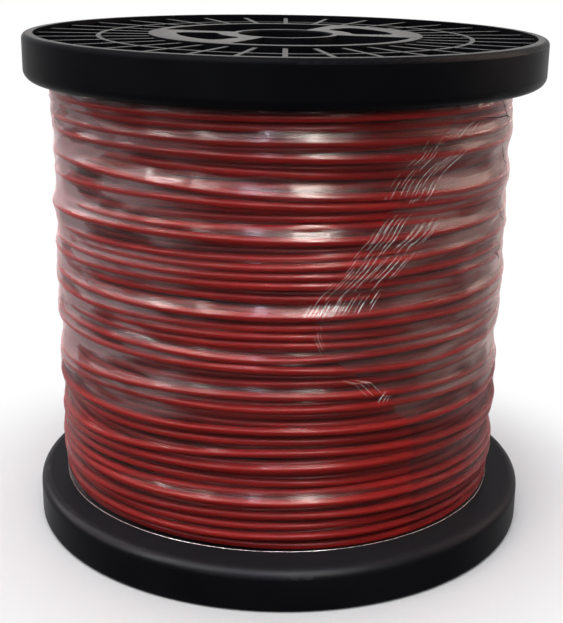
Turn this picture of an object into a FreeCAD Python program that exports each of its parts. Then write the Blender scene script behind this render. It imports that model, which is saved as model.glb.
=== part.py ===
import FreeCAD, Part
import math
import os

from FreeCAD import Vector

# A wire spool standing on its lower flange. The origin is the centre of the base, and +Z is the axis.
# All sizes are in millimetres and all angles in degrees, counted from +X towards +Y.

# Flange moulding, the same for both ends
FLANGE_DIAMETER = 200.0
FLANGE_DEPTH = 17.0
WEB_THICKNESS = 3.0
RIM_WALL = 4.2
RIM_TOP_ROUND = 2.0
RIM_WIRE_SIDE_ROUND = 4.0
RIB_COUNT = 32
RIB_THICKNESS = 1.9
RIB_DROP = 1.4
MID_RING_DIAMETER = 143.0
MID_RING_WALL = 1.8

# Hub of the flange
BORE_DIAMETER = 36.0
BORE_MOUTH_CHAMFER = 0.5
BOSS_WALL = 2.5
HUB_RING_DIAMETER = 105.2
HUB_RING_WALL = 4.0
HUB_DROP = 0.6
LAND_ANGLE = 26.5
LAND_SPAN = 80.0
LAND_THICKNESS = 3.0
LAND_SIDE_WALL = 2.6
WINDOW_INNER_BORDER = 5.4
WINDOW_OUTER_BORDER = 6.6
WINDOW_END_ANGLE = 14.5
WINDOW_CORNER = 4.0

# Barrel and arbor tube between the flanges
TRAVERSE = 160.0
BARREL_DIAMETER = 125.0
BARREL_WALL = 3.5
COLLAR_WALL = 3.0
COLLAR_HEIGHT = 10.0
COLLAR_CHAMFER = 1.0
ARBOR_COLLAR_WALL = 2.5
ARBOR_COLLAR_HEIGHT = 7.0
FIT_CLEARANCE = 0.2
EDGE_TOLERANCE = 0.01

# Wire and film
WINDING_DEPTH = 25.5
WIRE_DIAMETER = 3.0
WIRE_SIDES = 6
TURN_COUNT = 22
TURN_SWAY = 1.5
TURN_SWAY_STEP = 137.5
TURN_LEAST_GAP = 0.5
END_TURN_CLEARANCE = 0.8
TAIL_ANGLE = 90.0
TAIL_BEND_RADIUS = 6.0
SOFT_CLEARANCE = 0.3
FILM_CLEARANCE = 0.4
FILM_THICKNESS = 0.4
FILM_LAP_ANGLE = 303.0
FILM_LAP_SPAN = 200.0

# Sizes that follow from these
FLANGE_RADIUS = FLANGE_DIAMETER / 2
RIM_INNER_RADIUS = FLANGE_RADIUS - RIM_WALL
RIB_TOP = FLANGE_DEPTH - RIB_DROP
HUB_TOP = FLANGE_DEPTH - HUB_DROP
BORE_RADIUS = BORE_DIAMETER / 2
BOSS_RADIUS = BORE_RADIUS + BOSS_WALL
HUB_RING_RADIUS = HUB_RING_DIAMETER / 2
HUB_RING_INNER_RADIUS = HUB_RING_RADIUS - HUB_RING_WALL
ARBOR_COLLAR_INNER_RADIUS = BOSS_RADIUS + FIT_CLEARANCE
ARBOR_COLLAR_RADIUS = ARBOR_COLLAR_INNER_RADIUS + ARBOR_COLLAR_WALL
BARREL_RADIUS = BARREL_DIAMETER / 2
BARREL_INNER_RADIUS = BARREL_RADIUS - BARREL_WALL
COLLAR_RADIUS = BARREL_INNER_RADIUS - FIT_CLEARANCE
COLLAR_INNER_RADIUS = COLLAR_RADIUS - COLLAR_WALL
LOWER_FACE = FLANGE_DEPTH
UPPER_FACE = FLANGE_DEPTH + TRAVERSE
WIRE_RADIUS = WIRE_DIAMETER / 2
WINDING_RADIUS = BARREL_RADIUS + WINDING_DEPTH
TURN_RADIUS = WINDING_RADIUS - WIRE_RADIUS
CORE_RADIUS = TURN_RADIUS - WIRE_RADIUS - SOFT_CLEARANCE
FILM_INNER_RADIUS = WINDING_RADIUS + FILM_CLEARANCE


def polar(radius, angle, height):
    turn = math.radians(angle)
    return Vector(radius * math.cos(turn), radius * math.sin(turn), height)


def line(start, end):
    return Part.LineSegment(start, end).toShape()


def arc(start, middle, end):
    return Part.Arc(start, middle, end).toShape()


def ring(inner, outer, bottom, top):
    """A plain ring round the axis."""
    solid = Part.makeCylinder(outer, top - bottom, Vector(0, 0, bottom))
    return solid.cut(Part.makeCylinder(inner, top - bottom, Vector(0, 0, bottom)))


def sector(inner, outer, start, end, bottom, top, inset=0.0):
    """Part of a ring between two angles. Its straight sides lie inset from the rays at those angles."""
    inner_shift = math.degrees(math.asin(inset / inner))
    outer_shift = math.degrees(math.asin(inset / outer))
    middle = (start + end) / 2
    inner_start = polar(inner, start + inner_shift, bottom)
    outer_start = polar(outer, start + outer_shift, bottom)
    outer_end = polar(outer, end - outer_shift, bottom)
    inner_end = polar(inner, end - inner_shift, bottom)
    outline = Part.Wire([
        line(inner_start, outer_start),
        arc(outer_start, polar(outer, middle, bottom), outer_end),
        line(outer_end, inner_end),
        arc(inner_end, polar(inner, middle, bottom), inner_start),
    ])
    return Part.Face(outline).extrude(Vector(0, 0, top - bottom))


def quarter_round(centre_r, centre_z, radius, start, end):
    """An arc in the XZ plane, for an outline that turns about the axis."""
    points = []
    for angle in (start, (start + end) / 2, end):
        turn = math.radians(angle)
        points.append(Vector(centre_r + radius * math.cos(turn), 0, centre_z + radius * math.sin(turn)))
    return arc(*points)


def rim_and_web():
    """Rim, web and hub ring in one turned profile, with the wire side at height 0."""
    wire_round = RIM_WIRE_SIDE_ROUND
    top_round = RIM_TOP_ROUND
    lower = quarter_round(FLANGE_RADIUS - wire_round, wire_round, wire_round, -90, 0)
    upper = quarter_round(FLANGE_RADIUS - top_round, FLANGE_DEPTH - top_round, top_round, 0, 90)
    corners = [
        upper.Vertexes[1].Point,
        Vector(RIM_INNER_RADIUS, 0, FLANGE_DEPTH),
        Vector(RIM_INNER_RADIUS, 0, WEB_THICKNESS),
        Vector(HUB_RING_RADIUS, 0, WEB_THICKNESS),
        Vector(HUB_RING_RADIUS, 0, HUB_TOP),
        Vector(HUB_RING_INNER_RADIUS, 0, HUB_TOP),
        Vector(HUB_RING_INNER_RADIUS, 0, 0),
        lower.Vertexes[0].Point,
    ]
    edges = [line(a, b) for a, b in zip(corners, corners[1:])]
    edges += [lower, line(lower.Vertexes[1].Point, upper.Vertexes[0].Point), upper]
    outline = Part.Wire(Part.__sortEdges__(edges))
    return Part.Face(outline).revolve(Vector(0, 0, 0), Vector(0, 0, 1), 360)


def ribs():
    """Radial ribs between the hub ring and the rim, one of them on the -Y side."""
    sunk = WEB_THICKNESS / 2
    start = HUB_RING_RADIUS - HUB_RING_WALL / 2
    length = FLANGE_RADIUS - RIM_WALL / 2 - start
    rib = Part.makeBox(
        length, RIB_THICKNESS, RIB_TOP - sunk, Vector(start, -RIB_THICKNESS / 2, sunk)
    )
    copies = []
    for number in range(RIB_COUNT):
        copy = rib.copy()
        copy.rotate(Vector(0, 0, 0), Vector(0, 0, 1), 270 + number * 360 / RIB_COUNT)
        copies.append(copy)
    return copies


def window_cut(start):
    """The window through one land, with rounded corners."""
    inner = BOSS_RADIUS + WINDOW_INNER_BORDER
    outer = HUB_RING_INNER_RADIUS - WINDOW_OUTER_BORDER
    cut = sector(
        inner, outer, start + WINDOW_END_ANGLE, start + LAND_SPAN - WINDOW_END_ANGLE,
        HUB_TOP - 2 * LAND_THICKNESS, HUB_TOP + LAND_THICKNESS,
    )
    upright = [e for e in cut.Edges if abs(e.tangentAt(e.FirstParameter).z) > 0.99]
    return cut.makeFillet(min(WINDOW_CORNER, 0.45 * (outer - inner)), upright)


def hub():
    """Boss, floor of the two recesses, and the two lands with their windows."""
    boss = ring(BORE_RADIUS, BOSS_RADIUS, 0, HUB_TOP)
    shoulder = ring(BORE_RADIUS, ARBOR_COLLAR_RADIUS, 0, WEB_THICKNESS)
    floor = ring(BOSS_RADIUS - BOSS_WALL / 2, HUB_RING_RADIUS - HUB_RING_WALL / 2, 0, WEB_THICKNESS)
    solid = boss.fuse([shoulder, floor])
    for start in (LAND_ANGLE - LAND_SPAN / 2, LAND_ANGLE + 180 - LAND_SPAN / 2):
        end = start + LAND_SPAN
        land = sector(
            BOSS_RADIUS - BOSS_WALL / 2, HUB_RING_RADIUS - HUB_RING_WALL / 2, start, end, 0, HUB_TOP
        )
        hollow = sector(
            ARBOR_COLLAR_RADIUS, HUB_RING_INNER_RADIUS, start, end,
            -WEB_THICKNESS, HUB_TOP - LAND_THICKNESS, inset=LAND_SIDE_WALL,
        )
        solid = solid.fuse(land).cut(hollow).cut(window_cut(start))
    mouth = Part.makeCone(
        BORE_RADIUS, BORE_RADIUS + 2 * BORE_MOUTH_CHAMFER, 2 * BORE_MOUTH_CHAMFER,
        Vector(0, 0, HUB_TOP - BORE_MOUTH_CHAMFER),
    )
    return solid.cut(mouth)


def collars():
    """The two short collars on the wire side that the barrel and the arbor tube are pushed on to."""
    sunk = WEB_THICKNESS / 2
    outer = ring(COLLAR_INNER_RADIUS, COLLAR_RADIUS, -COLLAR_HEIGHT, sunk)
    foot = [e for e in outer.Edges if abs(e.CenterOfMass.z + COLLAR_HEIGHT) < EDGE_TOLERANCE]
    rim = [e for e in foot if abs(e.Length - 2 * math.pi * COLLAR_RADIUS) < EDGE_TOLERANCE]
    outer = outer.makeChamfer(COLLAR_CHAMFER, rim)
    inner = ring(ARBOR_COLLAR_INNER_RADIUS, ARBOR_COLLAR_RADIUS, -ARBOR_COLLAR_HEIGHT, 0)
    return [outer, inner]


def flange():
    """One flange moulding, with its wire side at height 0 and its open side up."""
    mid_radius = MID_RING_DIAMETER / 2
    mid_ring = ring(
        mid_radius - MID_RING_WALL / 2, mid_radius + MID_RING_WALL / 2, WEB_THICKNESS / 2, RIB_TOP
    )
    solid = rim_and_web().fuse([mid_ring, hub(), *collars(), *ribs()])
    return solid.removeSplitter().Solids[0]


def lower_flange():
    """The moulding turned over about the line through its windows, so that both pairs line up."""
    solid = flange()
    solid.rotate(Vector(0, 0, 0), polar(1, LAND_ANGLE, 0), 180)
    solid.translate(Vector(0, 0, LOWER_FACE))
    return solid


def upper_flange():
    solid = flange()
    solid.translate(Vector(0, 0, UPPER_FACE))
    return solid


def front_height(turn):
    """Height of a turn on the -Y side. The turns are spread over the traverse and sway a little."""
    low = LOWER_FACE + END_TURN_CLEARANCE + WIRE_RADIUS
    high = UPPER_FACE - END_TURN_CLEARANCE - WIRE_RADIUS
    share = turn / (TURN_COUNT - 1)
    sway = TURN_SWAY * math.sin(math.pi * share) * math.sin(math.radians(turn * TURN_SWAY_STEP))
    return low + (high - low) * share + sway


def back_height(turn):
    """Height of a turn on the tails' side, where the end turns bunch to clear the two tails."""
    step = WIRE_DIAMETER + TURN_LEAST_GAP
    tail = WIRE_DIAMETER + TAIL_BEND_RADIUS
    lowest = LOWER_FACE + tail + turn * step
    highest = UPPER_FACE - tail - (TURN_COUNT - turn) * step
    if turn == 0:
        return lowest
    if turn == TURN_COUNT:
        return highest
    return min(max((front_height(turn - 1) + front_height(turn)) / 2, lowest), highest)


def biarc(start, start_way, end, end_way):
    """Two arcs from start to end that leave and arrive along the given unit directions."""
    span = end - start
    ways = start_way + end_way
    bend = 1 - start_way.dot(end_way)
    reach = (math.sqrt(span.dot(ways) ** 2 + 2 * bend * span.dot(span)) - span.dot(ways)) / (2 * bend)
    joint = (start + end + (start_way - end_way) * reach) * 0.5
    edges = []
    for first, corner, last in (
        (start, start + start_way * reach, joint),
        (joint, end - end_way * reach, end),
    ):
        middle = (first + last) * 0.5
        rise = corner - middle
        half_chord = (last - first).Length / 2
        half_turn = math.atan2(rise.Length, half_chord)
        crown = middle + rise * (half_chord * math.tan(half_turn / 2) / rise.Length)
        edges.append(arc(first, crown, last))
    return edges


def wire_path():
    """The outer layer's centre line: a straight tail off each flange, and a biarc for each half turn."""
    heights = []
    for turn in range(TURN_COUNT):
        heights += [back_height(turn), front_height(turn)]
    heights.append(back_height(TURN_COUNT))
    last = len(heights) - 1
    joints = []
    for number, height in enumerate(heights):
        angle = TAIL_ANGLE + 180 * number
        climb = 0.0
        if 0 < number < last:
            climb = (heights[number + 1] - heights[number - 1]) / (2 * math.pi)
        way = polar(TURN_RADIUS, angle + 90, climb)
        joints.append((polar(TURN_RADIUS, angle, height), way.normalize()))
    up = Vector(0, 0, 1)
    bend_angle = math.degrees(math.asin(TAIL_BEND_RADIUS / TURN_RADIUS))
    foot = polar(TURN_RADIUS, TAIL_ANGLE - bend_angle, LOWER_FACE)
    head = polar(TURN_RADIUS, TAIL_ANGLE + bend_angle, UPPER_FACE)
    joints.insert(0, (foot + up * WIRE_DIAMETER, up))
    joints.append((head - up * WIRE_DIAMETER, up))
    edges = [line(foot, joints[0][0])]
    for (start, start_way), (end, end_way) in zip(joints, joints[1:]):
        edges += biarc(start, start_way, end, end_way)
    edges.append(line(joints[-1][0], head))
    return edges


def least_gap(edges):
    """The least distance between the tube's surface on one turn and on any other turn."""
    points = []
    travelled = 0.0
    for edge in edges:
        count = max(2, round(edge.Length / WIRE_DIAMETER))
        for point in edge.discretize(count)[:-1]:
            points.append((travelled + (point - edge.Vertexes[0].Point).Length, point))
        travelled += edge.Length
    apart = math.pi * TURN_RADIUS
    near = 3 * WIRE_DIAMETER
    least = apart
    for number, (place, point) in enumerate(points):
        for other_place, other in points[number + 1:]:
            if other_place - place < apart or abs(other.z - point.z) > near:
                continue
            least = min(least, (other - point).Length)
    return least - WIRE_DIAMETER


def wire_outer_layer():
    """The loose outermost turns, one unbroken faceted tube from the lower flange to the upper one."""
    edges = wire_path()
    start = edges[0].Vertexes[0].Point
    corners = [start + polar(WIRE_RADIUS, side * 360 / WIRE_SIDES, 0) for side in range(WIRE_SIDES)]
    section = Part.makePolygon(corners + corners[:1])
    tube = Part.Wire(edges).makePipeShell([section], True, False)
    length = sum(edge.Length for edge in edges)
    plain_volume = Part.Face(section).Area * length
    print("wire_outer_layer: length", round(length), "mm, least gap to itself", round(least_gap(edges), 2))
    print("wire_outer_layer: volume over section times length", round(tube.Volume / plain_volume, 4))
    return tube


def film_wrap():
    """Clear film round the winding. It is twice as thick where its end laps over itself."""
    bottom = LOWER_FACE + SOFT_CLEARANCE
    top = UPPER_FACE - SOFT_CLEARANCE
    outer = FILM_INNER_RADIUS + FILM_THICKNESS
    single = ring(FILM_INNER_RADIUS, outer, bottom, top)
    lap = sector(
        FILM_INNER_RADIUS + FILM_THICKNESS / 2, outer + FILM_THICKNESS,
        FILM_LAP_ANGLE, FILM_LAP_ANGLE + FILM_LAP_SPAN, bottom, top,
    )
    return single.fuse(lap).removeSplitter().Solids[0]


def barrel():
    return ring(BARREL_INNER_RADIUS, BARREL_RADIUS, LOWER_FACE, UPPER_FACE)


def arbor_tube():
    return ring(BORE_RADIUS, BOSS_RADIUS, LOWER_FACE, UPPER_FACE)


def wire_inner_layers():
    return ring(
        BARREL_RADIUS + SOFT_CLEARANCE, CORE_RADIUS, LOWER_FACE + SOFT_CLEARANCE, UPPER_FACE - SOFT_CLEARANCE
    )


PIECES = [lower_flange, upper_flange, barrel, arbor_tube, wire_inner_layers, wire_outer_layer, film_wrap]

os.makedirs("parts", exist_ok=True)
for piece in PIECES:
    shape = piece()
    if not shape.isValid() or len(shape.Solids) != 1:
        raise ValueError(piece.__name__ + " isn't one sound solid")
    shape.exportStep("parts/" + piece.__name__ + ".step")
    print(piece.__name__, round(shape.Volume / 1000, 1), "cm3,", len(shape.Faces), "faces")
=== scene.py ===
import math

import bpy
import numpy as np
from mathutils import Matrix, Vector

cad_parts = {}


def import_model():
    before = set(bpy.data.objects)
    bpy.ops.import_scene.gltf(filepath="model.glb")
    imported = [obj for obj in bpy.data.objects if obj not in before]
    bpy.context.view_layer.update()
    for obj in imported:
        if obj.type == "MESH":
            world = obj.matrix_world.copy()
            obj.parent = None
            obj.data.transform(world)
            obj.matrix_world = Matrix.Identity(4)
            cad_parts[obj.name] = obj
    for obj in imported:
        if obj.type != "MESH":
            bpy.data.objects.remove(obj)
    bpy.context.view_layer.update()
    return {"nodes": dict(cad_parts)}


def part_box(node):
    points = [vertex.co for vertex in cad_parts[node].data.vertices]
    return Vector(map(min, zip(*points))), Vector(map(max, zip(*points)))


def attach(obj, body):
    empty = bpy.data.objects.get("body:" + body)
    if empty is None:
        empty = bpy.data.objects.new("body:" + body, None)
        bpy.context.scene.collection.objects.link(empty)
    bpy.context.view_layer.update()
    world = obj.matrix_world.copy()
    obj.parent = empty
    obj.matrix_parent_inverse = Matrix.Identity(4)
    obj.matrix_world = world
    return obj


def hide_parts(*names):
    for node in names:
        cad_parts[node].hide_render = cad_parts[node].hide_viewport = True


# A wire spool in clear film, standing on a pale floor. Lengths are in metres, and angles in degrees about
# +Z, counted from +X towards +Y, so that 270 faces the camera. A blur is the width of a Gaussian, in steps
# round the spool, in rows up it, or in points along a path.

MM = 0.001

# Seeds of the random numbers
FILM_SEED = 6
DEEP_SEED = 6
MIDDLE_SEED = 14
OUTER_SEED = 8
LUMP_SEED = 17

# Camera, fitted to the outlines of both flanges. Its lens and sensor are in mm
CAMERA_PLACE = (0.0, -0.4819, 0.23205)
CAMERA_PITCH = 17.4
CAMERA_ROLL = 0.83
CAMERA_LENS = 70.66
CAMERA_SENSOR = 36.0

# Wire. Its turns start behind the spool
WIRE_DIAMETER = 0.003
STEPS_PER_TURN = 180
TURN_START = 90.0

# The turns of the deep and middle layers, the number of sides of the wire in each of the three layers, and
# how much the radius grows from the deep layer to the middle one and from there to the outer one
DEEP_TURNS = 52
MIDDLE_TURNS = 45
DEEP_SIDES = 6
MIDDLE_SIDES = 8
OUTER_SIDES = 10
LAYER_STEP = 0.00262
RIDGE_STEP = 0.0029

# How far the turns of each layer wander up and down, the least height between two turns, and how much the
# courses and the paths of the wire are rounded off
WOBBLE_DEEP = 0.0003
WOBBLE_MIDDLE = 0.0011
WOBBLE_OUTER = 0.0003
WOBBLE_BLUR = 10
TURN_PITCH = 0.00306
COURSE_BLUR = 6
PATH_BLUR = 3
RADIUS_BLUR = 5

# How the deep layer sinks between the proud turns
VALLEY_DEPTH = 0.0030
VALLEY_SLOPE = 0.9
# How the winding bulges to the left
LEFT_BULGE = 0.0022
LEFT_BULGE_ANGLE = 190.0
# The winding's random unevenness: its size, its number of waves, the height over which a wave repeats, and
# the number that its repeats round the spool stay below
LUMPS = 0.00055
LUMP_WAVES = 30
LUMP_HEIGHT = 0.014
LUMPS_ROUND = 9
# The winding narrows a little towards the lower flange
FOOT_TAPER = 0.0016
FOOT_HEIGHT = 0.014

# The course of each turn of the outer layer, from the lowest up: its height above the base in mm at each of
# these angles. A proud turn stands on a full layer of wire, and the others lie a little deeper.
COURSE_ANGLES = (205.0, 240.0, 270.0, 300.0, 330.0)
PROUD = True
LOW = False
COURSES = [
    ((19.4, 19.3, 19.4, 19.2, 19.4), LOW),
    ((22.8, 23.4, 24.0, 22.6, 23.2), PROUD),
    ((26.6, 27.0, 27.4, 26.8, 26.0), LOW),
    ((30.6, 31.4, 31.8, 31.4, 30.2), PROUD),
    ((35.2, 37.4, 37.2, 37.0, 35.0), PROUD),
    ((38.4, 40.4, 40.6, 40.2, 39.0), LOW),
    ((42.0, 44.2, 44.4, 43.4, 42.2), LOW),
    ((46.4, 49.0, 50.4, 50.2, 48.4), PROUD),
    ((50.6, 52.2, 55.8, 54.6, 52.0), PROUD),
    ((57.4, 58.8, 60.0, 59.4, 58.2), LOW),
    ((61.6, 62.9, 64.8, 63.4, 64.4), PROUD),
    ((69.6, 72.4, 72.0, 72.8, 69.6), PROUD),
    ((72.8, 76.8, 77.8, 77.0, 73.8), PROUD),
    ((80.6, 81.2, 82.0, 81.8, 82.0), LOW),
    ((87.0, 87.2, 87.2, 84.8, 85.6), PROUD),
    ((90.4, 92.0, 90.4, 92.8, 91.2), PROUD),
    ((95.4, 95.8, 96.2, 95.6, 94.6), LOW),
    ((98.0, 98.8, 98.8, 98.0, 97.4), LOW),
    ((100.4, 101.6, 101.6, 102.4, 100.6), PROUD),
    ((105.8, 106.2, 107.0, 106.4, 105.6), PROUD),
    ((111.4, 112.6, 112.0, 112.4, 111.6), LOW),
    ((114.0, 116.6, 117.4, 115.6, 115.0), PROUD),
    ((119.0, 119.8, 120.8, 119.4, 119.6), LOW),
    ((121.4, 122.9, 123.0, 124.8, 125.4), PROUD),
    ((124.4, 125.8, 125.8, 128.0, 128.6), LOW),
    ((131.2, 133.0, 133.2, 132.2, 132.0), PROUD),
    ((136.0, 135.8, 137.2, 136.6, 136.8), LOW),
    ((138.8, 139.4, 140.2, 139.8, 139.6), LOW),
    ((143.6, 145.6, 144.4, 143.4, 142.6), PROUD),
    ((152.0, 151.0, 147.6, 146.4, 145.6), PROUD),
    ((157.0, 156.8, 156.0, 153.6, 154.6), LOW),
    ((160.6, 161.6, 161.0, 160.2, 159.4), PROUD),
    ((165.4, 166.0, 166.3, 165.0, 164.4), PROUD),
    ((169.6, 170.4, 170.2, 169.8, 169.4), LOW),
    ((173.4, 173.6, 173.6, 173.4, 173.0), PROUD),
]

# Film: the points along and up the sheet, the rows on which its radius is worked out, and how far the CAD
# film stands off the winding
FILM_COLUMNS = 372
FILM_ROWS = 256
FILM_GRID = 440
FILM_CAD_ALLOWANCE = 0.0008
# It runs from its start behind the spool to its torn end, whose middle is at the second angle, and rises
# where it goes over its own start
FILM_START_ANGLE = 503.0
FILM_LAP_LIFT = 0.00012
FILM_LAP_RAMP = 8.0
# Between two wires it sags along a parabola of this radius, which is larger at the spool's sides, and only
# the wires within its reach hold it up
FILM_SAG_RADIUS = 0.0075
FILM_SAG_RADIUS_SIDES = 0.018
FILM_SAG_SIDES_POWER = 4
FILM_SAG_REACH = 0.016
# It stands a hair off the wires, and is smoothed up and round the spool
FILM_STAND_OFF = 0.00005
FILM_BLUR_UP = 1.2
FILM_BLUR_ROUND = 1.0
# Its top and bottom rows lie just under the wires that are near them
FILM_EDGE_ROWS = 3
FILM_EDGE_REACH = 0.005
FILM_EDGE_SHRINK = 0.0001
# How far off the wires its gap counts as full, and the pucker that it has where it spans a gap
FILM_GAP_SCALE = 0.0018
FILM_PUCKER = 0.00016
PUCKER_BLUR_UP = 5.0
PUCKER_BLUR_ROUND = 1.1
PUCKER_PER_GAP = 2
# Below the first of these heights the film looks single, and above the second doubled
DOUBLED_FROM = 0.066
DOUBLED_TO = 0.074

# Where the film's torn end lies, as heights in mm and angles, and how ragged it is
FILM_END = [
    (17.0, 304.0),
    (62.0, 303.0),
    (76.0, 294.0),
    (93.0, 280.0),
    (107.0, 277.0),
    (120.0, 284.0),
    (135.0, 292.0),
    (148.0, 297.0),
    (160.0, 306.0),
    (177.0, 314.0),
]
FILM_END_BLUR = 6
FILM_END_RAGGED = 0.6
FILM_END_RAGGED_BLUR = 1.0

# Bundles of fine creases in the film. Each is a path of angles and heights in mm, with its number of strands
# and the angle between them
CREASE_BUNDLES = [
    ([(306, 166), (300, 155), (295, 146)], 5, 1.3),
    ([(298, 142), (291, 130), (286, 121), (281, 113), (278, 106)], 9, 0.75),
    ([(313, 162), (305, 152), (300, 144)], 6, 1.2),
    ([(308, 140), (299, 129), (291, 118), (286, 107)], 8, 1.0),
    ([(278, 106), (278, 99), (280, 92)], 4, 0.9),
    ([(284, 83), (289, 81), (292, 76)], 5, 0.8),
    ([(297, 80), (294, 73)], 3, 1.2),
    ([(321, 171), (312, 164)], 6, 1.1),
]
# The least and greatest length of a dash of a crease and of the break after it, and a crease's width
CREASE_DASH = (0.004, 0.018)
CREASE_BREAK = (0.001, 0.007)
CREASE_WIDTH = (0.00006, 0.00013)
CREASE_POINTS = 9
# How unevenly the strands lie: a share of the angle between them, and an angle
CREASE_SPREAD = 0.25
CREASE_JITTER = 0.2

# Folds in the film near the right side, painted dark as shade, as heights in mm and angles
FOLD_LINES = [
    [(176, 331), (172, 335), (168, 338), (163, 340)],
    [(158, 334), (155, 337), (151, 339), (149, 342)],
    [(136, 335), (132, 337), (129, 340), (127, 343)],
    [(170, 322), (168.5, 330), (168, 337), (166, 343)],
    [(118, 334), (115, 338), (112, 342)],
]
# The points along a fold, how wavy it is, how wide it is and how far it stands up
FOLD_STEPS = 60
FOLD_BLUR = 1.5
FOLD_JITTER = 0.3
FOLD_WIDTH = 0.0004
FOLD_RISE = 0.0001
# The least square of a fold's taper, so that its ends keep a little width
FOLD_TAPER_FLOOR = 0.02
# The film's bottom edge, rolled over on itself
HEM_WIDTH = 0.00016

# Surfaces. The film's milkiness together with its painted sheen never hides more than this share of what
# lies under it
PLASTIC_IOR = 1.45
FILM_IOR = 1.2
MILK_AND_SHEEN_MOST = 0.37

# Stage: within the first distance from the axis the floor shows its shadow, and past the second it is white
FLOOR_SIZE = 12.0
FLOOR_WHITE_FROM = 0.095
FLOOR_WHITE_TO = 0.18

# Lights. Azimuth 0 is the viewer's side and 90 its right, and a brightness of 1 is white. Each lamp has a
# name, an azimuth, an elevation, a size, a brightness and a colour
LAMP_DISTANCE = 1.5
KEY_LAMP = ("key", -16, 64, (1.2, 0.9), 4.5, (1, 1, 1))
LEFT_LAMPS = [
    ("window_left", -116, 32, (0.6, 1.4), 15.0, (1.0, 0.95, 0.96)),
    ("wall_left", -92, 30, (1.0, 1.5), 16.0, (1.0, 0.88, 0.88)),
]
RIGHT_LAMP = ("wall_right", 100, 30, (1.3, 1.5), 9.0, (1.0, 0.75, 0.64))
# Tubes of one elevation, each with a name, an azimuth, a width, a brightness and a colour
TUBE_ELEVATION = 34
TUBES = [
    ("tube_right", 17, 0.36, 165.0, (1.0, 0.98, 0.93)),
    ("tube_middle", -9, 0.20, 115.0, (0.86, 0.82, 1.0)),
    ("tube_left", -35, 0.16, 130.0, (1.0, 0.98, 0.95)),
    ("tube_far_left", -60, 0.20, 160.0, (1.0, 0.98, 0.96)),
]
# The two lamps of a tube: the end of their names, their shares of its width, their lengths, and their shares
# of its brightness
TUBE_PARTS = (("_core", 0.4, 0.8, 1.9), ("_glow", 1.6, 1.5, 0.33))
# The bright window that gloss catches in the world's light
GLOW_DIRECTION = (-0.37, -0.53, 0.77)
GLOW_STRENGTH = 8.0


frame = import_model()

LOWER_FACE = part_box("barrel")[0].z
UPPER_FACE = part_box("barrel")[1].z
FILM_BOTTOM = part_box("film_wrap")[0].z
FILM_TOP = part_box("film_wrap")[1].z
TOP_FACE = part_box("upper_flange")[1].z
WINDING_RADIUS = -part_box("film_wrap")[0].x - FILM_CAD_ALLOWANCE
WIRE_RADIUS = WIRE_DIAMETER / 2
DEEP_RADIUS = WINDING_RADIUS - WIRE_RADIUS - RIDGE_STEP - LAYER_STEP

rng = np.random.default_rng(FILM_SEED)


# Meshes


def mesh_piece(name, points, faces, material, smooth=True):
    """A mesh object with one material, linked into the scene."""
    mesh = bpy.data.meshes.new(name)
    mesh.from_pydata(points.tolist(), [], faces)
    mesh.materials.append(material)
    if smooth:
        mesh.shade_smooth()
    piece = bpy.data.objects.new(name, mesh)
    bpy.context.scene.collection.objects.link(piece)
    return piece


def smoothed(values, width):
    """A row of numbers blurred by a Gaussian of that width in samples, with its ends held."""
    reach = int(4 * width)
    offsets = np.arange(-reach, reach + 1)
    kernel = np.exp(-0.5 * (offsets / width) ** 2)
    padded = np.pad(values, reach, mode="edge")
    return np.convolve(padded, kernel / kernel.sum(), mode="valid")


def step_angles(count):
    """The angles of this many steps along the turns, from where they start."""
    return TURN_START + np.arange(count) * 360 / STEPS_PER_TURN


def points_at(radii, angles, heights):
    """The points at these radii, angles and heights."""
    turn = np.radians(angles)
    return np.stack([radii * np.cos(turn), radii * np.sin(turn), heights], axis=-1)


# Wire


def towards_left(angles):
    """1 on the winding's left side, falling smoothly to 0 on its right."""
    return (0.5 + 0.5 * np.cos(np.radians(angles - LEFT_BULGE_ANGLE))) ** 2


def wobbled(path, amount, seed):
    """A path of heights with a slow random wobble, and no two of its turns closer than the wire is thick."""
    wobble = smoothed(np.random.default_rng(seed).standard_normal(len(path)), WOBBLE_BLUR)
    path = path + amount * wobble / wobble.std()
    upward = path[:-1].reshape(-1, STEPS_PER_TURN)
    downward = upward.copy()
    for turn in range(1, len(upward)):
        upward[turn] = np.maximum(upward[turn], upward[turn - 1] + TURN_PITCH)
        downward[-turn - 1] = np.minimum(downward[-turn - 1], downward[-turn] - TURN_PITCH)
    path = np.append((upward + downward).ravel() / 2, path[-1])
    return np.clip(smoothed(path, PATH_BLUR), LOWER_FACE + WIRE_RADIUS, UPPER_FACE - WIRE_RADIUS)


class Layer:
    """One layer of the winding: the angle, height and radius of each step along its wire.

    It lies at the deep layer's radius until it is rested on another layer.
    """

    def __init__(self, heights):
        self.turns = (len(heights) - 1) // STEPS_PER_TURN
        self.angles = step_angles(len(heights))
        self.heights = heights
        self.radii = np.full(len(heights), DEEP_RADIUS)

    def by_angle(self, values):
        """The values of every turn at each step of one turn, as a table of turns by steps."""
        return values[:-1].reshape(self.turns, STEPS_PER_TURN)

    def rest_on(self, lower):
        """Puts the wire on the layer below it, nested between its turns or crossing over them."""
        column = np.arange(len(self.heights)) % STEPS_PER_TURN
        aside = lower.by_angle(lower.heights)[:, column] - self.heights
        rise = np.sqrt(np.maximum(WIRE_DIAMETER**2 - aside**2, 0.0))
        seat = np.where(np.abs(aside) < WIRE_DIAMETER, lower.by_angle(lower.radii)[:, column] + rise, 0.0)
        self.radii = smoothed(seat.max(axis=0), RADIUS_BLUR)


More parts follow.
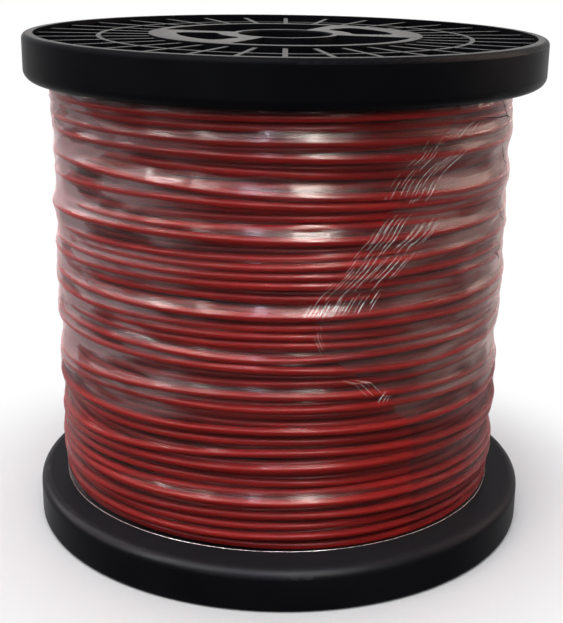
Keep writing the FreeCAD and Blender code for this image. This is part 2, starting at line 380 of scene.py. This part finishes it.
def lumps(angles, heights):
    """A smooth random unevenness over the winding, about 1 at its strongest places."""
    chance = np.random.default_rng(LUMP_SEED)
    total = np.zeros(len(angles))
    for _ in range(LUMP_WAVES):
        turn = np.radians(angles) * chance.integers(1, LUMPS_ROUND) + chance.uniform(0, 2 * math.pi)
        total += np.cos(turn + heights / LUMP_HEIGHT * 2 * math.pi * chance.normal())
    return total / math.sqrt(LUMP_WAVES / 2)


def sink_between(layer, ridges):
    """Lets a layer sink between the proud turns that will lie over it.

    It also bulges to the left, lies unevenly and narrows at its foot.
    """
    column = np.arange(len(layer.heights)) % STEPS_PER_TURN
    proud = [turn for turn, (_, stands) in enumerate(COURSES) if stands]
    apart = np.abs(ridges.by_angle(ridges.heights)[proud][:, column] - layer.heights).min(axis=0)
    valley = np.minimum(VALLEY_SLOPE * np.maximum(apart - WIRE_RADIUS, 0), VALLEY_DEPTH)
    uneven = LEFT_BULGE * towards_left(layer.angles) + LUMPS * lumps(layer.angles, layer.heights)
    uneven -= FOOT_TAPER * np.clip(1 - (layer.heights - LOWER_FACE) / FOOT_HEIGHT, 0, 1)
    layer.radii = smoothed(layer.radii - valley + uneven, RADIUS_BLUR)


def even_layer(turns, wobble, seed):
    """A layer whose turns lie fairly evenly from one flange to the other."""
    heights = np.linspace(LOWER_FACE + WIRE_RADIUS, UPPER_FACE - WIRE_RADIUS, turns * STEPS_PER_TURN + 1)
    return Layer(wobbled(heights, wobble, seed))


def outer_layer():
    """The outer turns, as one wire that climbs behind the spool from each course to the next."""
    knots = []
    heights = []
    for turn, (course, _) in enumerate(COURSES):
        knots += [360 * turn + angle for angle in COURSE_ANGLES]
        heights += [height * MM for height in course]
    angles = step_angles(len(COURSES) * STEPS_PER_TURN + 1)
    path = smoothed(np.interp(angles, knots, heights), COURSE_BLUR)
    return Layer(wobbled(path, WOBBLE_OUTER, OUTER_SEED))


def tube(name, layer, sides, material):
    """A round wire along a layer's path, closed at both ends."""
    turn = np.radians(layer.angles)
    outward = np.stack([np.cos(turn), np.sin(turn), np.zeros_like(turn)], axis=1)
    line = outward * layer.radii[:, None]
    line[:, 2] = layer.heights
    along = np.gradient(line, axis=0)
    along /= np.linalg.norm(along, axis=1)[:, None]
    out = outward - (outward * along).sum(axis=1)[:, None] * along
    out /= np.linalg.norm(out, axis=1)[:, None]
    side = np.cross(along, out)
    points = []
    for corner in range(sides):
        angle = 2 * math.pi * corner / sides
        points.append(line + WIRE_RADIUS * (math.cos(angle) * out + math.sin(angle) * side))
    points = np.stack(points, axis=1).reshape(-1, 3)
    rings = len(line)
    ring, corner = np.meshgrid(np.arange(rings - 1), np.arange(sides), indexing="ij")
    here = ring * sides + corner
    there = ring * sides + (corner + 1) % sides
    faces = np.stack([here, here + sides, there + sides, there], axis=-1).reshape(-1, 4).tolist()
    faces.append(list(range(sides)))
    faces.append(list(range((rings - 1) * sides, rings * sides))[::-1])
    return mesh_piece(name, points, faces, material)


# Film


def envelope(layers, grid):
    """The outermost radius of the wires at each angle step and height."""
    outer = np.full((STEPS_PER_TURN, len(grid)), 0.0)
    for layer in layers:
        heights = layer.by_angle(layer.heights)
        radii = layer.by_angle(layer.radii)
        for turn in range(layer.turns):
            aside = grid[None, :] - heights[turn][:, None]
            bulge = np.sqrt(np.maximum(WIRE_RADIUS**2 - aside**2, 0.0))
            reach = np.where(np.abs(aside) < WIRE_RADIUS, radii[turn][:, None] + bulge, 0.0)
            outer = np.maximum(outer, reach)
    return outer


def stretched(outer, step):
    """Film pulled tight over the wires: between them it sags no deeper than a parabola of the sag radius."""
    reach = int(FILM_SAG_REACH / step)
    count = outer.shape[1]
    sides = np.cos(np.radians(step_angles(STEPS_PER_TURN)))[:, None] ** FILM_SAG_SIDES_POWER
    radius = FILM_SAG_RADIUS + (FILM_SAG_RADIUS_SIDES - FILM_SAG_RADIUS) * sides
    lift = np.full_like(outer, -1.0)
    film = np.full_like(outer, 1.0)
    spans = []
    for offset in range(-reach, reach + 1):
        low, high = max(0, offset), min(count, count + offset)
        spans.append((slice(low - offset, high - offset), slice(low, high), (offset * step) ** 2))
    for here, there, square in spans:
        lift[:, here] = np.maximum(lift[:, here], outer[:, there] - square / (2 * radius))
    for here, there, square in spans:
        film[:, here] = np.minimum(film[:, here], lift[:, there] + square / (2 * radius))
    return film


def smoothed_up(field, width):
    """A field of angle steps by heights, blurred up the spool."""
    return np.stack([smoothed(row, width) for row in field])


def smoothed_round(field, width):
    """A field of angle steps by heights, blurred round the spool."""
    reach = int(4 * width) + 1
    wrapped = np.concatenate([field[-reach:], field, field[:reach]])
    return np.stack([smoothed(column, width) for column in wrapped.T], axis=1)[reach:-reach]


class FilmForm:
    """The film's radius, and how far it stands off the wires, at each angle step and height."""

    def __init__(self, layers):
        self.heights = np.linspace(FILM_BOTTOM, FILM_TOP, FILM_GRID)
        outer = envelope(layers, self.heights)
        step = self.heights[1] - self.heights[0]
        near = int(FILM_EDGE_REACH / step)
        outer[:, :FILM_EDGE_ROWS] = outer[:, :near].max(axis=1)[:, None] - FILM_EDGE_SHRINK
        outer[:, -FILM_EDGE_ROWS:] = outer[:, -near:].max(axis=1)[:, None] - FILM_EDGE_SHRINK
        film = smoothed_round(smoothed_up(stretched(outer, step), FILM_BLUR_UP), FILM_BLUR_ROUND)
        self.gap = np.clip((film - outer) / FILM_GAP_SCALE, 0, 1)
        pucker = smoothed_up(rng.standard_normal(film.shape), PUCKER_BLUR_UP)
        pucker = smoothed_round(pucker, PUCKER_BLUR_ROUND)
        free = np.minimum(1, PUCKER_PER_GAP * self.gap)
        self.radius = film + FILM_PUCKER * pucker / pucker.std() * free + FILM_STAND_OFF

    def at(self, values, angles, heights):
        """The values at any angles and heights, read between the steps."""
        column = ((angles - TURN_START) % 360) / 360 * STEPS_PER_TURN
        low = np.floor(column).astype(int) % STEPS_PER_TURN
        after = (low + 1) % STEPS_PER_TURN
        part = column - np.floor(column)
        row = (heights - self.heights[0]) / (self.heights[1] - self.heights[0])
        row_low = np.clip(row.astype(int), 0, FILM_GRID - 2)
        row_part = row - row_low
        near = values[low, row_low] * (1 - row_part) + values[low, row_low + 1] * row_part
        far = values[after, row_low] * (1 - row_part) + values[after, row_low + 1] * row_part
        return near * (1 - part) + far * part


def film_sheet(form, material):
    """One strip of film, wound once round the spool and over itself to its torn end.

    It carries two values on its points: gap, how far it stands off the wires, and lap, where it is double.
    """
    rows = np.linspace(FILM_BOTTOM, FILM_TOP, FILM_ROWS)
    share = np.linspace(0, 1, FILM_COLUMNS)
    end_heights, end_angles = np.array(FILM_END).T
    end = smoothed(np.interp(rows, end_heights * MM, end_angles - 360), FILM_END_BLUR)
    end += FILM_END_RAGGED * smoothed(rng.standard_normal(FILM_ROWS), FILM_END_RAGGED_BLUR)
    angle = FILM_START_ANGLE + (end[None, :] - FILM_START_ANGLE) * share[:, None]
    height = np.broadcast_to(rows, angle.shape)
    covered = np.clip((FILM_START_ANGLE - 360 + FILM_LAP_RAMP - angle) / FILM_LAP_RAMP, 0, 1)
    radius = form.at(form.radius, angle, height) + FILM_LAP_LIFT * covered
    points = points_at(radius, angle, height).reshape(-1, 3)
    column, row = np.meshgrid(np.arange(FILM_COLUMNS - 1), np.arange(FILM_ROWS - 1), indexing="ij")
    here = column * FILM_ROWS + row
    faces = np.stack([here, here + 1, here + FILM_ROWS + 1, here + FILM_ROWS], axis=-1).reshape(-1, 4)
    piece = mesh_piece("clear_film", points, faces.tolist(), material)
    gap = piece.data.attributes.new("gap", "FLOAT", "POINT")
    gap.data.foreach_set("value", form.at(form.gap, angle, height).ravel())
    lap = piece.data.attributes.new("lap", "FLOAT", "POINT")
    lap.data.foreach_set("value", covered.ravel())
    return piece


def fold(form, angles, heights, width, rise):
    """A small sharp fold that stands on the film along a path, tapered towards both ends.

    Its two edges lie on the film and its ridge stands up between them.
    """
    across_angle = np.gradient(angles) * math.radians(1) * WINDING_RADIUS
    across_height = np.gradient(heights)
    long = np.hypot(across_angle, across_height)
    taper = np.sqrt(np.maximum(1 - np.linspace(-1, 1, len(angles)) ** 2, FOLD_TAPER_FLOOR))
    side_angle = np.degrees(-across_height / long * width / 2 / WINDING_RADIUS) * taper
    side_height = across_angle / long * width / 2 * taper
    rows = []
    for side, lift in ((-1, 0.0), (0, 1.0), (1, 0.0)):
        angle = angles + side * side_angle
        height = np.clip(heights + side * side_height, FILM_BOTTOM, FILM_TOP)
        radius = form.at(form.radius, angle, height) + FILM_LAP_LIFT + lift * rise * taper
        rows.append(points_at(radius, angle, height))
    points = np.stack(rows, axis=1).reshape(-1, 3)
    faces = []
    for step in range(len(angles) - 1):
        for corner in range(3):
            first, second = 3 * step + corner, 3 * step + (corner + 1) % 3
            faces.append((first, second, second + 3, first + 3))
    faces.append((2, 1, 0))
    faces.append(tuple(3 * len(angles) - 3 + corner for corner in range(3)))
    return points, faces


def joined(name, folds, material):
    """Several folds as one piece."""
    points = []
    faces = []
    count = 0
    for fold_points, fold_faces in folds:
        points.append(fold_points)
        faces += [tuple(count + corner for corner in face) for face in fold_faces]
        count += len(fold_points)
    return mesh_piece(name, np.concatenate(points), faces, material, smooth=False)


def creases(form, material):
    """The bundles of fine creases where the film was drawn together, and its rolled bottom edge, whitened
    partly by painted glints.
    """
    folds = []
    for path, strands, spacing in CREASE_BUNDLES:
        angles, heights = np.array(path, float).T
        heights = heights * MM
        steps = np.hypot(np.radians(np.diff(angles)) * WINDING_RADIUS, np.diff(heights))
        travelled = np.concatenate([[0], np.cumsum(steps)])
        for strand in range(strands):
            aside = (strand - (strands - 1) / 2 + rng.normal(0, CREASE_SPREAD)) * spacing
            place = rng.uniform(*CREASE_BREAK)
            while place < travelled[-1]:
                dash_end = min(place + rng.uniform(*CREASE_DASH), travelled[-1])
                dash = np.linspace(place, dash_end, CREASE_POINTS)
                path_angles = np.interp(dash, travelled, angles) + aside + rng.normal(0, CREASE_JITTER)
                path_heights = np.interp(dash, travelled, heights)
                width = rng.uniform(*CREASE_WIDTH)
                folds.append(fold(form, path_angles, path_heights, width, width))
                place = dash[-1] + rng.uniform(*CREASE_BREAK)
    angles = np.linspace(FILM_START_ANGLE - 360, FILM_START_ANGLE, 2 * STEPS_PER_TURN)
    hem = np.full_like(angles, FILM_BOTTOM + HEM_WIDTH / 2)
    folds.append(fold(form, angles, hem, HEM_WIDTH, HEM_WIDTH / 2))
    return joined("film_creases", folds, material)


def fold_lines(form, material):
    """The thin lines where the film is folded over, near the right side, painted dark as shade."""
    folds = []
    share = np.linspace(0, 1, FOLD_STEPS)
    for path in FOLD_LINES:
        heights, angles = np.array(path, float).T
        place = np.linspace(0, 1, len(path))
        path_heights = smoothed(np.interp(share, place, heights * MM), FOLD_BLUR)
        path_angles = smoothed(np.interp(share, place, angles), FOLD_BLUR)
        path_angles += smoothed(rng.normal(0, FOLD_JITTER, FOLD_STEPS), FOLD_BLUR)
        folds.append(fold(form, path_angles, path_heights, FOLD_WIDTH, FOLD_RISE))
    return joined("film_fold_lines", folds, material)


# Materials


class Nodes:
    """Adds nodes to a material or a world, and joins them."""

    def __init__(self, owner):
        owner.use_nodes = True
        self.owner = owner
        self.tree = owner.node_tree
        self.tree.nodes.clear()

    def add(self, kind, settings=None, **sockets):
        """A node with its settings, and with values or other nodes' outputs in its named inputs."""
        node = self.tree.nodes.new("ShaderNode" + kind)
        for name, value in (settings or {}).items():
            setattr(node, name, value)
        for name, value in sockets.items():
            self.put(node.inputs[name.replace("_", " ")], value)
        return node

    def put(self, socket, value):
        """Joins another node's output to an input, or sets the input to a plain value."""
        if isinstance(value, bpy.types.NodeSocket):
            self.tree.links.new(value, socket)
        else:
            socket.default_value = value

    def fill(self, node, *values):
        """Puts values into a node's first inputs, in their order."""
        for socket, value in zip(node.inputs, values):
            self.put(socket, value)
        return node

    def maths(self, operation, *values):
        """One sum, product or other operation."""
        return self.fill(self.add("Math", {"operation": operation}), *values).outputs[0]

    def vector_maths(self, operation, *vectors):
        """One operation on vectors, as the node itself."""
        return self.fill(self.add("VectorMath", {"operation": operation}), *vectors)

    def length(self, vector):
        """How long a vector is."""
        return self.vector_maths("LENGTH", vector).outputs["Value"]

    def product(self, first, *others):
        """All of the values multiplied together."""
        for value in others:
            first = self.maths("MULTIPLY", first, value)
        return first

    def ramp(self, value, low, high, to_low=0.0, to_high=1.0):
        """A value that goes smoothly from to_low to to_high as the given one goes from low to high."""
        node = self.add("MapRange", {"interpolation_type": "SMOOTHSTEP"})
        return self.fill(node, value, low, high, to_low, to_high).outputs[0]

    def between(self, share, low, high):
        """A value that goes smoothly from low to high as the share goes from 0 to 1."""
        return self.ramp(share, 0.0, 1.0, low, high)

    def mix(self, factor, first, second):
        """A mix of two colours, whose sockets come after the node's number and vector sockets."""
        node = self.add("Mix", {"data_type": "RGBA"})
        self.put(node.inputs[0], factor)
        self.put(node.inputs[6], first)
        self.put(node.inputs[7], second)
        return node.outputs[2]

    def mix_shaders(self, factor, first, second):
        """A mix of two surfaces."""
        return self.fill(self.add("MixShader"), factor, first, second).outputs[0]

    def noise(self, place, scale, detail=2.0, roughness=0.5):
        """A random value that changes from place to place."""
        node = self.add("TexNoise", Vector=place, Scale=scale, Detail=detail, Roughness=roughness)
        return node.outputs["Fac"]

    def place(self):
        """The point's own coordinates, in metres."""
        return self.add("TexCoord").outputs["Object"]

    def value(self, name):
        """A value stored on the mesh's points."""
        return self.add("Attribute", {"attribute_name": name}).outputs["Fac"]

    def round_the_axis(self, point, along_scale, up_scale):
        """Coordinates that run round the spool and up it, each with its own scale."""
        parts = self.add("SeparateXYZ", Vector=point)
        turn = self.maths("ARCTAN2", parts.outputs["Y"], parts.outputs["X"])
        arc = self.maths("MULTIPLY", turn, WINDING_RADIUS * along_scale)
        height = self.maths("MULTIPLY", parts.outputs["Z"], up_scale)
        return self.add("CombineXYZ", X=arc, Y=height).outputs[0]

    def seen(self):
        """1 for rays from the camera, in gloss or through glass, and 0 for the rays that gather light."""
        path = self.add("LightPath")
        seen = self.maths("MAXIMUM", path.outputs["Is Camera Ray"], path.outputs["Is Glossy Ray"])
        return self.maths("MAXIMUM", seen, path.outputs["Is Transmission Ray"])

    def plastic(self, colour, rough, bump, gloss):
        """A plastic surface, whose gloss is its specular level."""
        node = self.add("BsdfPrincipled", Base_Color=colour, Roughness=rough, Normal=bump, IOR=PLASTIC_IOR)
        node.inputs["Specular IOR Level"].default_value = gloss
        return node.outputs[0]

    def finish(self, surface, output="OutputMaterial"):
        """Joins the surface to an output, and returns the material or world."""
        self.add(output, Surface=surface)
        return self.owner


def black_plastic():
    """Satin moulded polystyrene: a fine grain, faint flow marks, and dust on the spool's flat top, lighter
    than dust alone as a painted sheen.

    The dust and its painted sheen are thinner away from the hub, and the lower flange is painted a little
    paler where it faces up, a painted sheen for the lamps' highlight there.
    """
    made = Nodes(bpy.data.materials.new("black_moulded_plastic"))
    point = made.place()
    marks = made.noise(point, 28.0, 3.0)
    grain = made.noise(point, 2600.0, 2.0)
    specks = made.noise(point, 420.0, 4.0, 0.65)
    up = made.add("SeparateXYZ", Vector=made.add("NewGeometry").outputs["Normal"]).outputs["Z"]
    height = made.add("SeparateXYZ", Vector=point).outputs["Z"]
    from_axis = made.length(made.vector_maths("MULTIPLY", point, (1, 1, 0)).outputs[0])
    level = made.ramp(up, 0.96, 0.995)
    on_top = made.ramp(height, TOP_FACE - 0.006, TOP_FACE - 0.001)
    worn = made.ramp(from_axis, 0.040, 0.055, 1.0, 0.6)
    # Dust on the flat top, made lighter than dust alone as a painted sheen on the top faces
    dust_and_sheen = made.product(level, on_top, worn, made.ramp(specks, 0.35, 0.7, 0.65, 1.0))
    # Painted sheen: the lower flange is painted paler where it faces up, in place of the lamps' highlight on
    # it
    shoulder_sheen = made.product(made.ramp(up, 0.15, 0.9), made.ramp(height, 0.02, 0.03, 1.0, 0.0))
    black = made.mix(made.ramp(marks, 0.3, 0.7), (0.0042, 0.0044, 0.0055, 1), (0.0062, 0.0064, 0.0078, 1))
    black = made.mix(shoulder_sheen, black, (0.014, 0.0135, 0.0155, 1))
    colour = made.mix(dust_and_sheen, black, (0.212, 0.207, 0.200, 1))
    rough = made.maths("ADD", made.ramp(marks, 0.25, 0.75, 0.30, 0.40), made.product(dust_and_sheen, 0.3))
    rounded = made.add("Bevel", {"samples": 4}, Radius=0.0004).outputs[0]
    bump = made.add("Bump", Strength=0.10, Distance=0.0002, Height=grain, Normal=rounded).outputs[0]
    return made.finish(made.plastic(colour, rough, bump, 0.0125))


def grey_core():
    """The arbor tube's duller plastic, a mottled grey that is lighter than the flanges' black."""
    made = Nodes(bpy.data.materials.new("grey_core_plastic"))
    mottle = made.noise(made.place(), 260.0, 5.0, 0.7)
    colour = made.mix(made.ramp(mottle, 0.3, 0.7), (0.045, 0.045, 0.045, 1), (0.15, 0.15, 0.147, 1))
    bump = made.add("Bump", Strength=0.3, Distance=0.0003, Height=mottle).outputs[0]
    return made.finish(made.plastic(colour, 0.6, bump, 0.3))


def red_insulation():
    """Smooth extruded insulation whose red shifts a little along the wire."""
    made = Nodes(bpy.data.materials.new("red_wire_insulation"))
    point = made.place()
    slow = made.noise(made.round_the_axis(point, 14.0, 260.0), 1.0, 2.0)
    fine = made.noise(point, 900.0, 3.0)
    red = made.mix(made.ramp(slow, 0.3, 0.7), (0.34, 0.015, 0.013, 1), (0.45, 0.024, 0.019, 1))
    colour = made.mix(made.ramp(fine, 0.55, 0.8, 0.0, 0.25), red, (0.24, 0.012, 0.012, 1))
    rough = made.ramp(fine, 0.3, 0.7, 0.26, 0.34)
    bump = made.add("Bump", Strength=0.12, Distance=0.0001, Height=fine).outputs[0]
    return made.finish(made.plastic(colour, rough, bump, 0.016))


def clear_film():
    """Thin stretch film: clear where it lies on the wire, a little milkier and painted darker as shade where
    it spans a gap, and glossy.

    It is glossier where it is doubled and milkier over its lap, and on both sides a painted sheen, in
    patches and at its outlines, stands in for the room's reflection.
    """
    made = Nodes(bpy.data.materials.new("clear_stretch_film"))
    point = made.place()
    parts = made.add("SeparateXYZ", Vector=point)
    across = parts.outputs["X"]
    gap = made.value("gap")
    streaks = made.noise(made.round_the_axis(point, 60.0, 700.0), 1.0, 3.0, 0.6)
    blotch = made.noise(made.round_the_axis(point, 90.0, 150.0), 1.0, 3.0)
    patch = made.noise(made.round_the_axis(point, 35.0, 120.0), 1.0, 2.0)
    slow = made.noise(made.round_the_axis(point, 12.0, 4.0), 1.0, 2.0)
    bump = made.add("Bump", Strength=0.25, Distance=0.00010, Height=streaks).outputs[0]
    bump = made.add("Bump", Strength=0.5, Distance=0.0004, Height=blotch, Normal=bump).outputs[0]

    # Where it looks doubled, down to a wavy edge, and where it laps over itself
    edge = made.maths("ADD", parts.outputs["Z"], made.ramp(slow, 0.2, 0.8, -0.006, 0.006))
    doubled = made.ramp(edge, DOUBLED_FROM, DOUBLED_TO)
    lap = made.product(made.value("lap"), made.between(doubled, 0.2, 1.0))

    # Gloss, a little of it softer
    fresnel = made.add("Fresnel", IOR=FILM_IOR, Normal=bump).outputs[0]
    strength = made.maths("ADD", made.between(doubled, 0.32, 0.42), made.between(lap, 0.0, 0.12))
    shine = made.maths("MINIMUM", made.product(fresnel, strength), made.between(doubled, 0.035, 0.2))
    sharp = made.add("BsdfAnisotropic", Color=(1, 0.93, 0.93, 1), Roughness=0.16, Normal=bump).outputs[0]
    soft = made.add("BsdfAnisotropic", Color=(1, 0.90, 0.90, 1), Roughness=0.38, Normal=bump).outputs[0]
    gloss = made.mix_shaders(0.3, sharp, soft)

    # What shows through it, painted darker as shade over the gaps between the wires, and its own milkiness
    # and painted sheen
    # Painted shade: what shows through darkens wherever the film stands off the wires, deepening the valleys
    gap_shade_tint = made.mix(made.ramp(gap, 0.01, 0.16), (0.98, 0.97, 0.975, 1), (0.82, 0.74, 0.77, 1))
    clear = made.add("BsdfTransparent", Color=gap_shade_tint).outputs[0]
    # Painted sheen: its milkiness is pink, and warmer on the right, like the light reflected there
    milk_and_sheen_colour = made.mix(made.ramp(across, -0.02, 0.04), (0.93, 0.73, 0.74, 1), (0.90, 0.67, 0.58, 1))
    milk_and_sheen = made.add("BsdfDiffuse", Color=milk_and_sheen_colour).outputs[0]

    # How milkiness and painted sheen cover it: milkiness over the gaps, and painted sheen for the room's
    # reflection at the outlines on both sides and in patches near them
    milk_and_sheen_share = made.product(gap, made.ramp(blotch, 0.3, 0.7, 0.6, 1.3), made.between(lap, 0.012, 0.035))
    # Painted sheen: milkiness at both outlines and in patches near them, stronger at grazing angles, stands
    # in for the bright room's reflection
    left_rim_sheen = made.product(made.ramp(across, -0.01, -0.06), made.ramp(patch, 0.38, 0.62, 0.8, 5.5))
    rim_sheen = made.maths("ADD", left_rim_sheen, made.ramp(across, 0.062, 0.084, 0.0, 0.6))
    grazing = made.product(fresnel, made.between(doubled, 0.12, 1.0))
    rim_sheen = made.product(rim_sheen, grazing, made.ramp(gap, 0.01, 0.25, 0.25, 1.0))
    aside = made.maths("ADD", made.ramp(across, 0.03, 0.065), made.ramp(across, -0.02, -0.06))
    side_sheen = made.product(aside, doubled, made.ramp(patch, 0.38, 0.62, 0.01, 0.19))
    side_sheen = made.product(side_sheen, made.ramp(gap, 0.02, 0.3, 0.15, 1.0))
    milk_and_sheen_share = made.maths("ADD", milk_and_sheen_share, made.maths("ADD", rim_sheen, side_sheen))
    milk_and_sheen_share = made.maths("MINIMUM", milk_and_sheen_share, MILK_AND_SHEEN_MOST)
    return made.finish(made.mix_shaders(shine, made.mix_shaders(milk_and_sheen_share, clear, milk_and_sheen), gloss))


def creased_film():
    """Film drawn into fine creases, white partly from the creasing and partly from painted glints."""
    made = Nodes(bpy.data.materials.new("creased_film"))
    glint = made.noise(made.place(), 700.0, 2.0)
    gloss = made.add("BsdfAnisotropic", Color=(1, 1, 1, 1), Roughness=0.2).outputs[0]
    # Partly painted glints: the white diffuse, broken up by the glint noise, stands in for light caught in
    # the folds
    milk_and_sheen = made.add("BsdfDiffuse", Color=(0.95, 0.72, 0.68, 1)).outputs[0]
    clear = made.add("BsdfTransparent", Color=(0.95, 0.93, 0.93, 1)).outputs[0]
    body = made.mix_shaders(made.ramp(glint, 0.35, 0.65, 0.3, 1.0), clear, milk_and_sheen)
    return made.finish(made.mix_shaders(0.03, body, gloss))


def folded_film():
    """Film folded several times over, painted dark as shade for the dark it shows edge on."""
    made = Nodes(bpy.data.materials.new("folded_film"))
    break_up = made.noise(made.place(), 260.0, 2.0)
    # Painted shade: a dark diffuse stands in for the dark that folded film shows edge on
    dark = made.add("BsdfDiffuse", Color=(0.03, 0.022, 0.022, 1)).outputs[0]
    clear = made.add("BsdfTransparent", Color=(0.9, 0.88, 0.88, 1)).outputs[0]
    return made.finish(made.mix_shaders(made.ramp(break_up, 0.3, 0.6, 0.3, 0.85), clear, dark))


# Stage, light and camera


def pale_floor():
    """White to the eye and in reflections, with the object's shadow, and dimmer as a source of light."""
    made = Nodes(bpy.data.materials.new("pale_floor"))
    point = made.place()
    seen = made.seen()
    tone = made.noise(point, 3.0, 2.0)
    pale = made.mix(made.ramp(tone, 0.3, 0.7), (0.79, 0.79, 0.79, 1), (0.81, 0.81, 0.81, 1))
    colour = made.mix(seen, (0.24, 0.24, 0.24, 1), pale)
    near = made.add("BsdfDiffuse", Color=colour).outputs[0]
    white = made.add("Emission", Color=(1, 1, 1, 1), Strength=1.0).outputs[0]
    far = made.ramp(made.length(point), FLOOR_WHITE_FROM, FLOOR_WHITE_TO)
    return made.finish(made.mix_shaders(made.product(far, seen), near, white))


def stage():
    """A wide pale floor that the spool stands on."""
    half = FLOOR_SIZE / 2
    points = np.array([(-half, -half, 0), (half, -half, 0), (half, half, 0), (-half, half, 0)])
    floor = mesh_piece("floor", points, [(0, 1, 2, 3)], pale_floor(), smooth=False)


def world():
    """A soft room that lights the object, dimmer on the viewer's side, and shows as plain white.

    Gloss also catches a broad bright window, high on the left of the viewer's side.
    """
    made = Nodes(bpy.data.worlds.new("studio"))
    bpy.context.scene.world = made.owner
    direction = made.add("TexCoord").outputs["Generated"]
    depth = made.add("SeparateXYZ", Vector=direction).outputs["Y"]
    front = made.ramp(depth, -0.32, -0.16, 0.36, 0.45)
    back = made.ramp(depth, 0.35, 0.75)
    room = made.maths("ADD", front, back)
    facing = made.vector_maths("DOT_PRODUCT", direction, GLOW_DIRECTION).outputs["Value"]
    window = made.ramp(facing, 0.5, 0.95, 0.0, GLOW_STRENGTH)
    glow = made.product(window, made.add("LightPath").outputs["Is Glossy Ray"])
    seen = made.seen()
    light = made.add("Background", Color=(0.97, 0.95, 1.0, 1), Strength=room).outputs[0]
    shown = made.add("Background", Color=(1, 1, 1, 1), Strength=made.maths("ADD", seen, glow)).outputs[0]
    made.finish(made.mix_shaders(seen, light, shown), "OutputWorld")


def lamp(name, azimuth, elevation, size, brightness, colour, lights=True, only_on=None):
    """A soft rectangular lamp aimed at the middle of the spool.

    A lamp that doesn't light only shows in reflections. It falls on the whole object or, where one is given,
    only on the pieces of one collection.
    """
    light = bpy.data.lights.new(name, "AREA")
    light.shape = "RECTANGLE"
    light.size, light.size_y = size
    light.energy = brightness * math.pi * size[0] * size[1]
    light.color = colour
    made = bpy.data.objects.new(name, light)
    made.visible_diffuse = lights
    made.light_linking.receiver_collection = only_on
    turn, rise = math.radians(azimuth), math.radians(elevation)
    away = Vector((math.sin(turn) * math.cos(rise), -math.cos(turn) * math.cos(rise), math.sin(rise)))
    middle = Vector((0, 0, (LOWER_FACE + UPPER_FACE) / 2))
    made.location = middle + away * LAMP_DISTANCE
    made.rotation_mode = "QUATERNION"
    made.rotation_quaternion = away.to_track_quat("Z", "Y")
    bpy.context.scene.collection.objects.link(made)


def tube_light(name, azimuth, width, brightness, colour, only_on):
    """A bright tube with soft edges: a short narrow core in a wider, dimmer glow. It only shows in gloss."""
    for part, broad, tall, bright in TUBE_PARTS:
        size = (broad * width, tall)
        lamp(name + part, azimuth, TUBE_ELEVATION, size, bright * brightness, colour, False, only_on)


def lights(shiny_pieces):
    """A soft key lamp, and tubes, a window and two walls that only show in gloss.

    Of these, only the key lamp and the right wall fall on the upper flange.
    """
    shiny = bpy.data.collections.new("lit_by_tubes")
    for piece in shiny_pieces + [frame["nodes"]["lower_flange"]]:
        shiny.objects.link(piece)
    lamp(*KEY_LAMP)
    for tube_facts in TUBES:
        tube_light(*tube_facts, shiny)
    for lamp_facts in LEFT_LAMPS:
        lamp(*lamp_facts, lights=False, only_on=shiny)
    lamp(*RIGHT_LAMP, lights=False)


def camera():
    """The camera at the photograph's viewpoint, pitched down and rolled a little."""
    data = bpy.data.cameras.new("camera")
    data.lens = CAMERA_LENS
    data.sensor_width = CAMERA_SENSOR
    made = bpy.data.objects.new("camera", data)
    bpy.context.scene.collection.objects.link(made)
    pitch, roll = math.radians(CAMERA_PITCH), math.radians(CAMERA_ROLL)
    ahead = Vector((0, math.cos(pitch), -math.sin(pitch)))
    right = Vector((1, 0, 0))
    up = right.cross(ahead)
    across = math.cos(roll) * right + math.sin(roll) * up
    upward = -math.sin(roll) * right + math.cos(roll) * up
    turn = Matrix((across, upward, -ahead)).transposed()
    made.matrix_world = Matrix.Translation(Vector(CAMERA_PLACE)) @ turn.to_4x4()
    bpy.context.scene.camera = made


# The spool


def dress_mouldings():
    """Gives the four CAD mouldings their plastics."""
    plastic = black_plastic()
    core = grey_core()
    for name in ("lower_flange", "upper_flange", "barrel", "arbor_tube"):
        node = frame["nodes"][name]
        node.data.materials.clear()
        node.data.materials.append(core if name == "arbor_tube" else plastic)


def wind_wire():
    """The winding's three outermost layers. Returns the two that the film touches, and all three pieces."""
    deep = even_layer(DEEP_TURNS, WOBBLE_DEEP, DEEP_SEED)
    middle = even_layer(MIDDLE_TURNS, WOBBLE_MIDDLE, MIDDLE_SEED)
    ridges = outer_layer()
    sink_between(deep, ridges)
    middle.rest_on(deep)
    ridges.rest_on(middle)
    insulation = red_insulation()
    wires = [
        tube("wire_deep_layer", deep, DEEP_SIDES, insulation),
        tube("wire_middle_layer", middle, MIDDLE_SIDES, insulation),
        tube("wire_ridges", ridges, OUTER_SIDES, insulation),
    ]
    for wire, node in zip(wires, ("wire_inner_layers", "wire_inner_layers", "wire_outer_layer")):
        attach(wire, "root")
        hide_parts(node)
    return [middle, ridges], wires


def wrap_film(layers):
    """The film with its creases and folds. Returns these pieces."""
    form = FilmForm(layers)
    film = film_sheet(form, clear_film())
    creased = creases(form, creased_film())
    folded = fold_lines(form, folded_film())
    for piece in (film, creased, folded):
        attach(piece, "root")
        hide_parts("film_wrap")
    return [film, creased, folded]


bpy.context.scene.view_settings.view_transform = "Standard"
dress_mouldings()
winding, wire_pieces = wind_wire()
film_pieces = wrap_film(winding)
stage()
world()
lights(wire_pieces + film_pieces)
camera()
